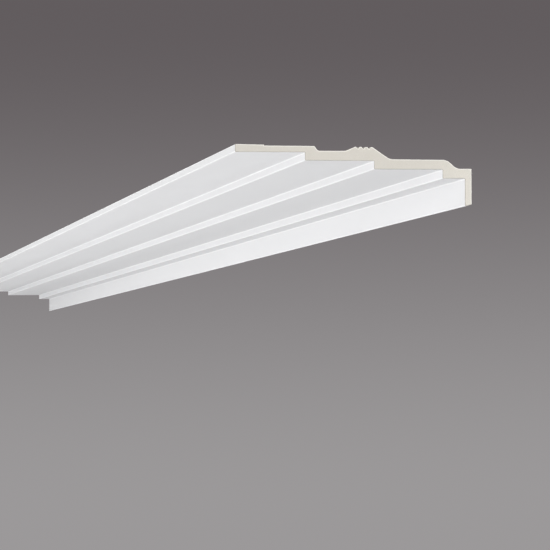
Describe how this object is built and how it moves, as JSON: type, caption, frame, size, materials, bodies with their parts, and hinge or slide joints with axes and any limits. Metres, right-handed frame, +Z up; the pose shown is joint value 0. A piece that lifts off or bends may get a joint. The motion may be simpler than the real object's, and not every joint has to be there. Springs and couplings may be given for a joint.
{
  "type": "cornice moulding",
  "caption": "Stepped ceiling cornice length in hard foam: broad terraced soffits over an upright wall lip, with a hollowed back, glue ribs and square-cut ends.",
  "frame": {"origin": "middle of the flat face that is glued to the wall, halfway along the length", "axes": "+X along the length, +Y out of the back into the wall, +Z up to the ceiling; the visible side faces -Y and -Z"},
  "size_m": [3.55, 0.25, 0.0598],
  "materials": {
    "primed_foam": "matte white primer on the visible side; bare cream hard foam on the back and on both cut ends"
  },
  "bodies": {
    "root": {"cornice_length": "primed_foam"}
  },
  "joints": []
}
